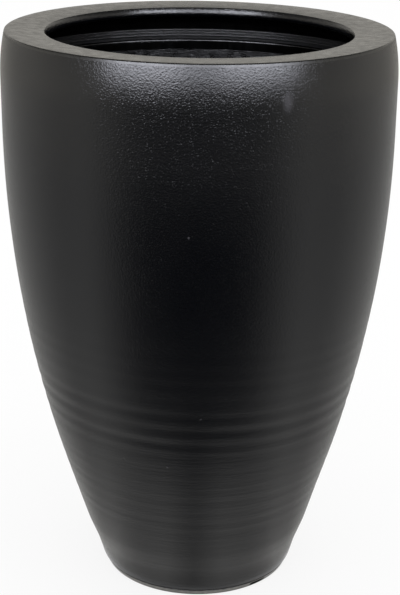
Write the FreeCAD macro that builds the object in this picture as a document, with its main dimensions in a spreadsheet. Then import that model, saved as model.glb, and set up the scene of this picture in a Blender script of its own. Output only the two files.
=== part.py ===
import FreeCAD, Part
import math
import os
import re
import Sketcher

# Tall round planter of hand-laid fibreglass: a convex tapering shell, a wide flat rim
# moulded on its own and bonded to the shoulder, a false floor on a foot ring, and a
# rubber drain plug that lifts out. Millimetres, +Z up, origin on the ground under the
# centre, -Y towards the viewer.

SIZES = {
    # outside of the shell
    "overall_height": 900.0,
    "belly_radius": 305.0,
    "shoulder_drop": 69.0,       # from the top down to where the side starts to lean in
    "shoulder_radius": 300.0,
    "upright_band": 74.0,        # straight band under the shoulder
    "sweep_radius": 1900.0,      # long curve of the side below that band
    "taper_height": 200.0,       # where that curve runs out into the straight taper
    "foot_height": 60.0,         # top of the flatter foot
    "foot_inset": 22.0,          # the foot draws in this much on its way to the ground
    # walls of the shell
    "wall_lower": 8.0,
    "wall_upper": 4.0,
    "ledge_round": 2.0,          # edge of the inner step between the two walls
    # turned rings on the lower half, with their heights above the ground
    "ring_round": 8.0,
    "ring_depth": 0.8,
    "ring_first": 301.0,
    "ring_second": 322.0,
    "ring_third": 347.0,
    "ring_fourth": 364.0,
    "ring_fifth": 433.0,
    # rim
    "rim_edge": 5.0,             # rounded outer edge, and height of the rim above its joint
    "rim_drop": 4.0,             # the flat falls this much towards the mouth
    "rim_width": 58.5,           # of the flat, between the two edges
    "lip_depth": 12.2,           # lip that hangs down round the mouth
    "lip_width": 12.0,
    "lip_round": 2.5,            # its upper corner
    "lip_roll": 6.0,             # its lower corner
    "plate": 5.0,                # thickness of the flat at the mouth
    "spigot_width": 8.0,         # rib that centres the rim in the shell
    "spigot_depth": 5.0,
    "spigot_gap": 0.3,
    "rim_bond": 0.8,             # adhesive under the rim
    "rim_bond_recess": 1.0,
    # glass tape that covers the rim joint from inside
    "rim_tape_height": 24.0,
    "rim_tape_edge": 1.5,
    # ribbed hoop that stands on the inner step
    "hoop_gap": 10.3,            # bare wall between the hoop and the glass tape
    "hoop_height": 20.0,
    "hoop_thickness": 2.5,
    "hoop_groove": 1.2,
    "hoop_groove_depth": 0.7,
    "hoop_groove_count": 5,
    # foot ring and its adhesive
    "foot_ring_height": 9.5,
    "foot_ring_setback": 1.3,    # from the lower edge of the shell
    "foot_ring_round": 8.0,
    "foot_ring_width": 37.5,
    "foot_bond": 2.0,
    "foot_bond_recess": 3.0,
    "upstand_width": 12.0,       # inner wall of the foot ring, which carries the floor
    "upstand_height": 30.0,
    "notch_width": 26.0,
    "notch_height": 6.0,
    "notch_count": 3,
    "notch_azimuth": 41.0,       # degrees to the right of the front
    # floor
    "floor_thickness": 8.0,
    "floor_gap": 0.5,
    "floor_tape_height": 28.0,
    "floor_tape_width": 32.0,
    "floor_tape_hollow": 1.2,    # radius of its hollow face, in lengths of that face
    # drain
    "drain_radius": 20.0,
    "bush_wall": 4.5,
    "bush_gap": 0.2,
    "bush_flange_lap": 10.0,     # reach of the flange past the drain hole
    "bush_flange": 3.0,
    "bush_tail": 6.0,            # reach of the sleeve below the floor
    "plug_gap": 0.3,
    "plug_seat_gap": 0.2,
    "plug_tip": 1.0,             # the shank narrows by this much
    "plug_flange_lap": 6.7,      # reach of the flange past the bore of the bush
    "plug_flange": 4.0,
    "tab_width": 22.0,
    "tab_height": 18.0,
    "tab_thickness": 6.0,
    "tab_hole_radius": 5.0,
}

RINGS = ["ring_first", "ring_second", "ring_third", "ring_fourth", "ring_fifth"]
LEAST_CUT = 1.0                  # cubic millimetres that any real cut takes away


def wall_at(height):
    """Outer radius of the shell at a height, as a formula of the sizes."""
    shoulder = ("belly_radius - shoulder_radius"
                " + sqrt(shoulder_radius^2 - (({0}) - shoulder_height)^2)")
    sweep = "belly_radius - sweep_radius + sqrt(sweep_radius^2 - (belly_height - ({0}))^2)"
    taper = "taper_radius - (taper_height - ({0})) * lean"
    foot = "foot_radius + ({0}) * (foot_top_radius - foot_radius) / foot_height"
    formula = ("(({0}) > shoulder_height ? " + shoulder
               + " : (({0}) > belly_height ? belly_radius"
               + " : (({0}) > taper_height ? " + sweep
               + " : (({0}) > foot_height ? " + taper + " : " + foot + "))))")
    return formula.format(height)


# Values that follow from the sizes, in the order in which they are worked out.
FOLLOWING = [
    ("shoulder_height", "overall_height - shoulder_drop"),
    ("belly_height", "shoulder_height - upright_band"),
    ("lean_sine", "(belly_height - taper_height) / sweep_radius"),
    ("lean_cosine", "sqrt(1 - lean_sine^2)"),
    ("lean", "lean_sine / lean_cosine"),
    ("taper_radius", "belly_radius - sweep_radius * (1 - lean_cosine)"),
    ("foot_top_radius", "taper_radius - (taper_height - foot_height) * lean"),
    ("foot_radius", "foot_top_radius - foot_inset"),
    ("shell_bottom", "foot_ring_height + foot_bond"),
    ("shell_bottom_radius", wall_at("shell_bottom")),
    ("foot_ring_radius", "shell_bottom_radius - foot_ring_setback"),
    ("foot_bore", "foot_ring_radius - foot_ring_width"),
    ("rim_joint", "overall_height - rim_edge"),
    ("rim_radius", wall_at("rim_joint")),
    ("rim_flat_radius", "rim_radius - rim_edge"),
    ("mouth_radius", "rim_flat_radius - rim_width"),
    ("shell_top", "rim_joint - rim_bond"),
    ("shell_top_radius", wall_at("shell_top")),
    ("mouth_height", "overall_height - rim_drop"),
    ("lip_bottom", "mouth_height - lip_depth"),
    ("plate_bottom", "mouth_height - plate"),
    ("lip_slope", "rim_drop / rim_width"),
    ("lip_top", "mouth_height + lip_round * lip_slope"),
    ("spigot_radius", "shell_top_radius - wall_upper - spigot_gap"),
    ("spigot_bore", "spigot_radius - spigot_width"),
    ("spigot_bottom", "plate_bottom - spigot_depth"),
    ("rim_tape_bottom", "spigot_bottom - rim_tape_height"),
    ("rim_tape_top_radius", wall_at("spigot_bottom") + " - wall_upper"),
    ("rim_tape_bottom_radius", wall_at("rim_tape_bottom") + " - wall_upper"),
    ("hoop_top", "rim_tape_bottom - hoop_gap"),
    ("ledge_height", "hoop_top - hoop_height"),
    ("ledge_radius", wall_at("ledge_height")),
    ("hoop_bottom_radius", "ledge_radius - wall_upper"),
    ("hoop_top_radius", wall_at("hoop_top") + " - wall_upper"),
    ("hoop_pitch", "hoop_height / (hoop_groove_count + 1)"),
    ("upstand_radius", "foot_bore + upstand_width"),
    ("floor_top", "upstand_height + floor_thickness"),
    ("floor_radius", wall_at("upstand_height") + " - wall_lower - floor_gap"),
    ("floor_wall", wall_at("floor_top") + " - wall_lower"),
    ("floor_tape_top", "floor_top + floor_tape_height"),
    ("floor_tape_top_radius", wall_at("floor_tape_top") + " - wall_lower"),
    ("floor_tape_round", "floor_tape_hollow * sqrt(floor_tape_width^2 + floor_tape_height^2)"),
    ("bush_radius", "drain_radius - bush_gap"),
    ("bush_bore", "bush_radius - bush_wall"),
    ("bush_flange_radius", "drain_radius + bush_flange_lap"),
    ("bush_top", "floor_top + bush_flange"),
    ("bush_bottom", "upstand_height - bush_tail"),
    ("plug_radius", "bush_bore - plug_gap"),
    ("plug_flange_radius", "bush_bore + plug_flange_lap"),
    ("plug_seat", "bush_top + plug_seat_gap"),
    ("plug_top", "plug_seat + plug_flange"),
]

doc = FreeCAD.newDocument("Planter")
sheet = doc.addObject("Spreadsheet::Sheet", "Sizes")


def fill_sheet():
    """One row for each size: its name and its value."""
    row = 0
    for name, value in SIZES.items():
        row += 1
        sheet.set("A%d" % row, name)
        sheet.set("B%d" % row, str(value))
        sheet.setAlias("B%d" % row, name)
    for name, formula in FOLLOWING:
        row += 1
        sheet.set("A%d" % row, name)
        sheet.set("B%d" % row, "=" + formula)
        sheet.setAlias("B%d" % row, name)
    doc.recompute()


def from_sheet(formula):
    """A formula written with the sizes' names, as the document reads it."""
    names = set(SIZES) | {name for name, _ in FOLLOWING}
    return re.sub(r"[a-z_]+", lambda m: "Sizes." + m.group() if m.group() in names else m.group(),
                  formula)


def number(formula):
    """The value of a formula of the sizes."""
    return float(sheet.evalExpression(from_sheet(formula)))


def new_body(name):
    body = doc.addObject("PartDesign::Body", name)
    body.Label = name
    return body


def origin_feature(body, role):
    return next(f for f in body.Origin.OriginFeatures if f.Role == role)


def new_sketch(body, name, plane="XZ_Plane"):
    sketch = body.newObject("Sketcher::SketchObject", name)
    sketch.AttachmentSupport = [(origin_feature(body, plane), "")]
    sketch.MapMode = "FlatFace"
    return sketch


def bind(sketch, constraint, formula):
    """Adds a constraint whose value follows the sheet."""
    index = sketch.addConstraint(constraint)
    sketch.setExpression("Constraints[%d]" % index, from_sheet(formula))


def place(sketch, geometry, end, across, up):
    """Fixes one point by its two distances from the sketch's origin."""
    if across == "0":
        sketch.addConstraint(Sketcher.Constraint("PointOnObject", geometry, end, -2))
    else:
        bind(sketch, Sketcher.Constraint("DistanceX", -1, 1, geometry, end, number(across)), across)
    if up == "0":
        sketch.addConstraint(Sketcher.Constraint("PointOnObject", geometry, end, -1))
    else:
        bind(sketch, Sketcher.Constraint("DistanceY", -1, 1, geometry, end, number(up)), up)


def arc_between(first, last, radius, side):
    """Arc of under a half circle; side 1 has its centre to the left of the way along."""
    chord = last - first
    height = math.sqrt(radius ** 2 - (chord.Length / 2) ** 2)
    left = FreeCAD.Vector(-chord.y, chord.x, 0).normalize()
    centre = (first + last) * 0.5 + left * (height * side)
    start, end = (first, last) if side > 0 else (last, first)
    angles = [math.atan2(p.y - centre.y, p.x - centre.x) for p in (start, end)]
    circle = Part.Circle(centre, FreeCAD.Vector(0, 0, 1), radius)
    return Part.ArcOfCircle(circle, angles[0], angles[1])


def outline(sketch, corners, arcs=None):
    """Closed outline through corners given as (across, up) formulas.

    arcs gives, for the edge that leaves a corner, its radius and side.
    """
    arcs = arcs or {}
    points = [FreeCAD.Vector(number(across), number(up), 0) for across, up in corners]
    ends = []
    for i, point in enumerate(points):
        following = points[(i + 1) % len(points)]
        if i in arcs:
            radius, side = arcs[i]
            index = sketch.addGeometry(arc_between(point, following, number(radius), side))
            ends.append((index, 1, 2) if side > 0 else (index, 2, 1))
        else:
            index = sketch.addGeometry(Part.LineSegment(point, following))
            ends.append((index, 1, 2))
    for i, (index, first, last) in enumerate(ends):
        after = ends[(i + 1) % len(ends)]
        sketch.addConstraint(Sketcher.Constraint("Coincident", index, last, after[0], after[1]))
    for i, (across, up) in enumerate(corners):
        place(sketch, ends[i][0], ends[i][1], across, up)
    for i, (radius, _) in arcs.items():
        bind(sketch, Sketcher.Constraint("Radius", ends[i][0], number(radius)), radius)


def circle(sketch, across, up, radius):
    centre = FreeCAD.Vector(number(across), number(up), 0)
    index = sketch.addGeometry(Part.Circle(centre, FreeCAD.Vector(0, 0, 1), number(radius)))
    place(sketch, index, 3, across, up)
    bind(sketch, Sketcher.Constraint("Radius", index, number(radius)), radius)


def turn(body, name, corners, arcs=None):
    """Solid of revolution about the upright axis."""
    sketch = new_sketch(body, name + "_section")
    outline(sketch, corners, arcs)
    feature = body.newObject("PartDesign::Revolution", name)
    feature.Profile = sketch
    feature.ReferenceAxis = (sketch, ["V_Axis"])
    feature.Angle = 360
    sketch.Visibility = False
    return feature


def turned_groove(body, name, across, up, radius):
    """Round-bottomed groove cut all the way round."""
    sketch = new_sketch(body, name + "_section")
    circle(sketch, across, up, radius)
    feature = body.newObject("PartDesign::Groove", name)
    feature.Profile = sketch
    feature.ReferenceAxis = (sketch, ["V_Axis"])
    feature.Angle = 360
    return feature


def check_cut(body, before, what):
    """A cut that misses its solid raises no error, so the volumes are compared."""
    doc.recompute()
    if body.Shape.Volume >= before - LEAST_CUT:
        raise RuntimeError(what + " removes nothing")


def outer_shell():
    body = new_body("outer_shell")
    corners = [
        ("shell_bottom_radius", "shell_bottom"),
        ("foot_top_radius", "foot_height"),
        ("taper_radius", "taper_height"),
        ("belly_radius", "belly_height"),
        ("belly_radius", "shoulder_height"),
        ("shell_top_radius", "shell_top"),
        ("shell_top_radius - wall_upper", "shell_top"),
        ("ledge_radius - wall_upper", "ledge_height"),
        ("ledge_radius - wall_lower + ledge_round", "ledge_height"),
        ("ledge_radius - wall_lower", "ledge_height - ledge_round"),
        ("belly_radius - wall_lower", "belly_height"),
        ("taper_radius - wall_lower", "taper_height"),
        ("foot_top_radius - wall_lower", "foot_height"),
        ("shell_bottom_radius - wall_lower", "shell_bottom"),
    ]
    arcs = {
        2: ("sweep_radius", 1),
        4: ("shoulder_radius", 1),
        6: ("shoulder_radius", -1),
        8: ("ledge_round", 1),
        10: ("sweep_radius", -1),
    }
    turn(body, "wall", corners, arcs)
    for ring in RINGS:
        doc.recompute()
        before = body.Shape.Volume
        across = wall_at(ring) + " + ring_round - ring_depth"
        turned_groove(body, ring, across, ring, "ring_round")
        check_cut(body, before, ring)
    return body


def rim_ring():
    body = new_body("rim_ring")
    corners = [
        ("rim_radius", "rim_joint"),
        ("rim_flat_radius", "overall_height"),
        ("mouth_radius + lip_round", "lip_top"),
        ("mouth_radius", "lip_top - lip_round"),
        ("mouth_radius", "lip_bottom + lip_roll"),
        ("mouth_radius + lip_roll", "lip_bottom"),
        ("mouth_radius + lip_width", "lip_bottom"),
        ("mouth_radius + lip_width", "plate_bottom"),
        ("spigot_bore", "plate_bottom"),
        ("spigot_bore", "spigot_bottom"),
        ("spigot_radius", "spigot_bottom"),
        ("spigot_radius", "rim_joint"),
    ]
    arcs = {0: ("rim_edge", 1), 2: ("lip_round", 1), 4: ("lip_roll", 1)}
    turn(body, "rim", corners, arcs)
    return body


def rim_bond_line():
    body = new_body("rim_bond_line")
    corners = [
        ("spigot_radius", "shell_top"),
        ("shell_top_radius - rim_bond_recess", "shell_top"),
        ("shell_top_radius - rim_bond_recess", "rim_joint"),
        ("spigot_radius", "rim_joint"),
    ]
    turn(body, "bond", corners)
    return body


def rim_tape():
    body = new_body("rim_tape")
    corners = [
        ("rim_tape_bottom_radius", "rim_tape_bottom"),
        ("rim_tape_top_radius", "spigot_bottom"),
        ("spigot_bore", "spigot_bottom"),
        ("rim_tape_bottom_radius - rim_tape_edge", "rim_tape_bottom"),
    ]
    turn(body, "tape", corners)
    return body


def inner_hoop():
    body = new_body("inner_hoop")
    corners = [
        ("hoop_bottom_radius - hoop_thickness", "ledge_height"),
        ("hoop_bottom_radius", "ledge_height"),
        ("hoop_top_radius", "hoop_top"),
        ("hoop_top_radius - hoop_thickness", "hoop_top"),
    ]
    turn(body, "hoop", corners)
    doc.recompute()
    before = body.Shape.Volume
    across = "hoop_bottom_radius - hoop_thickness + hoop_groove_depth - hoop_groove"
    groove = turned_groove(body, "groove", across, "ledge_height + hoop_pitch", "hoop_groove")
    pattern = body.newObject("PartDesign::LinearPattern", "grooves")
    pattern.Originals = [groove]
    pattern.Direction = (origin_feature(body, "Z_Axis"), [""])
    pattern.setExpression("Length", from_sheet("hoop_pitch * (hoop_groove_count - 1)"))
    pattern.setExpression("Occurrences", from_sheet("hoop_groove_count"))
    body.Tip = pattern
    check_cut(body, before, "the hoop's grooves")
    return body


def foot_ring():
    body = new_body("foot_ring")
    corners = [
        ("foot_bore", "0"),
        ("foot_ring_radius - foot_ring_round", "0"),
        ("foot_ring_radius", "foot_ring_round"),
        ("foot_ring_radius", "foot_ring_height"),
        ("upstand_radius", "foot_ring_height"),
        ("upstand_radius", "upstand_height"),
        ("foot_bore", "upstand_height"),
    ]
    turn(body, "ring", corners, {1: ("foot_ring_round", 1)})
    doc.recompute()
    before = body.Shape.Volume
    sketch = new_sketch(body, "notch_section")
    half = "notch_width / 2"
    corners = [("-" + half, "0"), (half, "0"), (half, "notch_height"), ("-" + half, "notch_height")]
    outline(sketch, corners)
    notch = body.newObject("PartDesign::Pocket", "notch")
    notch.Profile = sketch
    notch.Type = "Length"
    notch.Reversed = True
    notch.setExpression("Length", from_sheet("foot_ring_radius + foot_ring_round"))
    check_cut(body, before, "the drain notch")
    pattern = body.newObject("PartDesign::PolarPattern", "notches")
    pattern.Originals = [notch]
    pattern.Axis = (origin_feature(body, "Z_Axis"), [""])
    pattern.Angle = 360
    pattern.setExpression("Occurrences", from_sheet("notch_count"))
    body.Tip = pattern
    body.Placement = FreeCAD.Placement(FreeCAD.Vector(), FreeCAD.Rotation(FreeCAD.Vector(0, 0, 1), 1))
    body.setExpression("Placement.Rotation.Angle", from_sheet("notch_azimuth"))
    return body


def foot_bond_line():
    body = new_body("foot_bond_line")
    corners = [
        ("shell_bottom_radius - wall_lower", "foot_ring_height"),
        ("foot_ring_radius - foot_bond_recess", "foot_ring_height"),
        ("foot_ring_radius - foot_bond_recess", "shell_bottom"),
        ("shell_bottom_radius - wall_lower", "shell_bottom"),
    ]
    turn(body, "bond", corners)
    return body


def base_floor():
    body = new_body("base_floor")
    corners = [
        ("drain_radius", "upstand_height"),
        ("floor_radius", "upstand_height"),
        ("floor_radius", "floor_top"),
        ("drain_radius", "floor_top"),
    ]
    turn(body, "disc", corners)
    return body


def floor_tape():
    body = new_body("floor_tape")
    corners = [
        ("floor_wall - floor_tape_width", "floor_top"),
        ("floor_wall", "floor_top"),
        ("floor_tape_top_radius", "floor_tape_top"),
    ]
    turn(body, "tape", corners, {2: ("floor_tape_round", -1)})
    return body


def drain_bush():
    body = new_body("drain_bush")
    corners = [
        ("bush_bore", "bush_bottom"),
        ("bush_radius", "bush_bottom"),
        ("bush_radius", "floor_top"),
        ("bush_flange_radius", "floor_top"),
        ("bush_flange_radius", "bush_top"),
        ("bush_bore", "bush_top"),
    ]
    turn(body, "bush", corners)
    return body


def drain_plug():
    body = new_body("drain_plug")
    corners = [
        ("0", "bush_bottom"),
        ("plug_radius - plug_tip", "bush_bottom"),
        ("plug_radius", "plug_seat"),
        ("plug_flange_radius", "plug_seat"),
        ("plug_flange_radius", "plug_top"),
        ("0", "plug_top"),
    ]
    turn(body, "stopper", corners)
    sketch = new_sketch(body, "tab_section")
    half = "tab_width / 2"
    straight = "plug_top + tab_height - tab_width / 2"
    corners = [("-" + half, "plug_seat"), (half, "plug_seat"), (half, straight),
               ("0", "plug_top + tab_height"), ("-" + half, straight)]
    outline(sketch, corners, {2: (half, 1), 3: (half, 1)})
    circle(sketch, "0", straight, "tab_hole_radius")
    tab = body.newObject("PartDesign::Pad", "tab")
    tab.Profile = sketch
    tab.Midplane = True
    tab.setExpression("Length", from_sheet("tab_thickness"))
    return body


def check(bodies):
    """Every object has to be sound before anything is written."""
    doc.recompute()
    for item in doc.Objects:
        if "Invalid" in item.State or "Error" in item.State:
            raise RuntimeError(item.Label + " is " + ", ".join(item.State))
    for body in bodies:
        if body.Shape.isNull() or not body.Shape.isValid() or len(body.Shape.Solids) != 1:
            raise RuntimeError(body.Label + " isn't one valid solid")


fill_sheet()
BODIES = [
    outer_shell(),
    rim_ring(),
    rim_bond_line(),
    rim_tape(),
    inner_hoop(),
    foot_ring(),
    foot_bond_line(),
    base_floor(),
    floor_tape(),
    drain_bush(),
    drain_plug(),
]
check(BODIES)
os.makedirs("parts", exist_ok=True)
for piece in BODIES:
    piece.Shape.exportStep("parts/" + piece.Label + ".step")
    box = piece.Shape.BoundBox
    print("%-16s volume %11.1f  radius %6.1f  z %6.1f to %6.1f" % (
        piece.Label, piece.Shape.Volume, box.XMax, box.ZMin, box.ZMax))
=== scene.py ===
import math
from functools import partial

import bmesh
import bpy
from mathutils import Matrix, Vector, noise


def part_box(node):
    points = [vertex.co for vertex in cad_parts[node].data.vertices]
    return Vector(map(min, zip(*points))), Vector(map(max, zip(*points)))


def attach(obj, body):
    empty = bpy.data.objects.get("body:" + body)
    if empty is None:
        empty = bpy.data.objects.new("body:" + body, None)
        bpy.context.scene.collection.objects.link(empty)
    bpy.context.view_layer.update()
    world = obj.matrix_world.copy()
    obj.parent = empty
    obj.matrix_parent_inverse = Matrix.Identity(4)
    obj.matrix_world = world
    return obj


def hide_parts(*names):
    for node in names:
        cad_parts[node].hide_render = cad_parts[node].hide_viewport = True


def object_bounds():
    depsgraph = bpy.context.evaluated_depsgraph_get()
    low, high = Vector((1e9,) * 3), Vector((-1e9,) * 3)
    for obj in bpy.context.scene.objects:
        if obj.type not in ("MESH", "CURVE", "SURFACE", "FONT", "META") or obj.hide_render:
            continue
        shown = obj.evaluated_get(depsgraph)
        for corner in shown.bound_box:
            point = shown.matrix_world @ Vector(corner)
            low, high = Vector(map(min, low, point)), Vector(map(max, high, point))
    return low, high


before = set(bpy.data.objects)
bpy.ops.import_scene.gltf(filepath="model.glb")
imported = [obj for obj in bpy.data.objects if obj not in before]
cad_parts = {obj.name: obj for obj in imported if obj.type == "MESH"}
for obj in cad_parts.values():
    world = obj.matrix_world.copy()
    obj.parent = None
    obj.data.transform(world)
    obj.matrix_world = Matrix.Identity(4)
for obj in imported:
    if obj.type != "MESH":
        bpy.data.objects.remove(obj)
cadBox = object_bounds()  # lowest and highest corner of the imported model
mm = 0.001
weld = 0.005     # points closer than this are one
sharpAngle = 40  # edges past this many degrees stay crisp


# ---- tools shared by the pieces; lengths are in millimetres unless a note says metres

def linearColour(hexCode):
    # sRGB hex to the linear colour that a shader takes
    channels = [int(hexCode[i:i + 2], 16) / 255 for i in (1, 3, 5)]
    return (*[c / 12.92 if c <= 0.04045 else ((c + 0.055) / 1.055) ** 2.4 for c in channels], 1.0)


def nodeBox(node):
    # lowest and highest corner of a CAD node
    low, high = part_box(node)
    return Vector(low) / mm, Vector(high) / mm


def softOutline(corners, steps=4):
    # corners are (radius, height, rounding); each rounding becomes an arc
    outline = []
    for i, (radius, height, rounding) in enumerate(corners):
        here = Vector((radius, height))
        if not rounding:
            outline.append(here)
            continue
        before = (Vector(corners[i - 1][:2]) - here).normalized()
        after = (Vector(corners[(i + 1) % len(corners)][:2]) - here).normalized()
        half = before.angle(after) / 2
        centre = here + (before + after).normalized() * (rounding / math.sin(half))
        start = here + before * (rounding / math.tan(half)) - centre
        end = here + after * (rounding / math.tan(half)) - centre
        for step in range(steps + 1):
            outline.append(centre + start.slerp(end, step / steps).normalized() * rounding)
    return outline


def spinOutline(outline, turns):
    # turns a closed outline all the way round the upright axis
    bm = bmesh.new()
    verts = [bm.verts.new((radius * mm, 0, height * mm)) for radius, height in outline]
    edges = [bm.edges.new((verts[i - 1], verts[i])) for i in range(len(verts))]
    bmesh.ops.spin(bm, geom=verts + edges, axis=(0, 0, 1), angle=2 * math.pi, steps=turns,
                   use_merge=True)
    bmesh.ops.remove_doubles(bm, verts=bm.verts, dist=weld * mm)
    bmesh.ops.recalc_face_normals(bm, faces=bm.faces)
    return bm


def roundFade(away):
    # 1 in the middle, smoothly down to 0 at 1 away
    return 0.5 + 0.5 * math.cos(math.pi * away)


def waver(place):
    # even noise about 0.5
    return 0.5 + 0.5 * noise.noise(place)


def outwardShare(face):
    # 1 where a face looks straight away from the axis, -1 where it looks towards it
    centre = face.calc_center_median()
    return face.normal.xy.dot(centre.xy) / centre.xy.length


def layMap(bm):
    # a map in metres that follows the piece: round the wall and up it, or flat over a floor
    bm.normal_update()
    layer = bm.loops.layers.uv.new("lay")
    for face in bm.faces:
        centre = face.calc_center_median()
        middle = math.atan2(centre.y, centre.x)
        for loop in face.loops:
            co = loop.vert.co
            if abs(face.normal.z) > laminate["levelFrom"]:
                loop[layer].uv = (co.x, co.y)
                continue
            turn = math.atan2(co.y, co.x) - middle
            turn = middle + (turn + math.pi) % (2 * math.pi) - math.pi
            loop[layer].uv = (turn * laminate["wallRadius"], co.z)


def addMesh(name, bm, materials=()):
    mesh = bpy.data.meshes.new(name)
    bm.to_mesh(mesh)
    bm.free()
    for material in materials:
        mesh.materials.append(material)
    item = bpy.data.objects.new(name, mesh)
    bpy.context.scene.collection.objects.link(item)
    return item


def finishPiece(name, bm, materials, node, body="planter"):
    piece = addMesh(name, bm, materials)
    for face in piece.data.polygons:
        face.use_smooth = True
    piece.data.set_sharp_from_angle(angle=math.radians(sharpAngle))
    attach(piece, body)
    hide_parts(node)
    print(name, len(piece.data.polygons), "faces")
    return piece


# ---- materials

def addNode(tree, kind, inputs=None, **settings):
    # kind is the node's type after ShaderNode; an input given as (node, output) is linked, any
    # other is set
    node = tree.nodes.new("ShaderNode" + kind)
    for name, value in settings.items():
        setattr(node, name, value)
    for name, value in (inputs or {}).items():
        if isinstance(value, tuple) and isinstance(value[0], bpy.types.Node):
            tree.links.new(value[0].outputs[value[1]], node.inputs[name])
        else:
            node.inputs[name].default_value = value
    return node


def spans(source, target=(0, 1)):
    # the limits of a MapRange node
    return {"From Min": source[0], "From Max": source[1], "To Min": target[0], "To Max": target[1]}


smooth = {"interpolation_type": "SMOOTHSTEP"}
multiply = {"operation": "MULTIPLY"}


def perMetre(size):
    # how many features of this size lie in a metre
    return 1 / (size * mm)


def newMaterial(name):
    material = bpy.data.materials.new(name)
    material.use_nodes = True
    return material, material.node_tree, partial(addNode, material.node_tree)


def startMaterial(name, look):
    # gives the material, its node adder and the place on the piece
    material, tree, add = newMaterial(name)
    tree.nodes["Principled BSDF"].inputs["IOR"].default_value = look["ior"]
    return material, add, (add("TexCoord"), "Object")


def finishMaterial(material, look, shade, reliefs, gloss=None, over=None):
    # shade runs through the look's two colours, over gives the amount and colour of a tint laid
    # on them, gloss or else shade runs through the roughness, and the reliefs, each a height
    # and its rise, lie one over another
    tree = material.node_tree
    add = partial(addNode, tree)
    first, second = look["colours"]
    tint = add("Mix", {0: shade, 6: linearColour(first), 7: linearColour(second)}, data_type="RGBA")
    if over:
        tint = add("Mix", {0: over[0], 6: (tint, 2), 7: linearColour(over[1])}, data_type="RGBA")
    rough = add("MapRange", {
        "Value": gloss or shade, **spans(look.get("glossSpan", (0, 1)), look["roughness"])})
    below = {}
    for height, rise in reliefs:
        bump = add("Bump", {"Height": height, "Distance": rise * mm, **below})
        below = {"Normal": (bump, "Normal")}
    shader = tree.nodes["Principled BSDF"]
    tree.links.new(tint.outputs[2], shader.inputs["Base Color"])
    tree.links.new(rough.outputs["Result"], shader.inputs["Roughness"])
    tree.links.new(bump.outputs["Normal"], shader.inputs["Normal"])
    return material


turnedPaint = {
    "colours": ("#030408", "#06070b"), "ior": 1.42, "roughness": (0.15, 0.20),
    "glossSpan": (0.3, 0.7), "cloudSize": 90,
    "peelSize": 2.6, "peelHeight": 0.35,      # stipple left by the roller
    "speckSize": 2.6, "speckWidth": 0.46, "speckHeight": 0.18,  # spatter that dried on it
    "speckSpan": (0.55, 1.0),                 # share of its height that a speck has
    "streakSize": 4.0, "streakLength": 80, "streakHeight": 0.36,
    "streakUntil": (300, 480), "streakLeft": 0.15,  # the streaks of turning fade out upwards
    "nibSize": 26, "nibWidth": 0.06, "nibHeight": 0.25,
    # a wiped patch, dents and drops in the paint: place in metres, half width and half height,
    # share of the tint, rise
    "marks": (((0.115, -0.282, 0.843), (12, 21), 0.55, 0.0),
              ((0.2601, -0.1594, 0.7925), (3, 7), 0.0, -0.6),
              ((-0.0198, -0.3017, 0.656), (2.4, 2.4), 0.8, 0.5),
              ((0.0, -0.2638, 0.3635), (3, 2), 0.3, 0.5),
              ((-0.0493, -0.237, 0.272), (2.5, 3), 0.4, 0.5),
              ((-0.1166, -0.2126, 0.2735), (3, 4), 0.0, -0.7)),
    "markTint": "#4b4a50",
}


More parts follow.
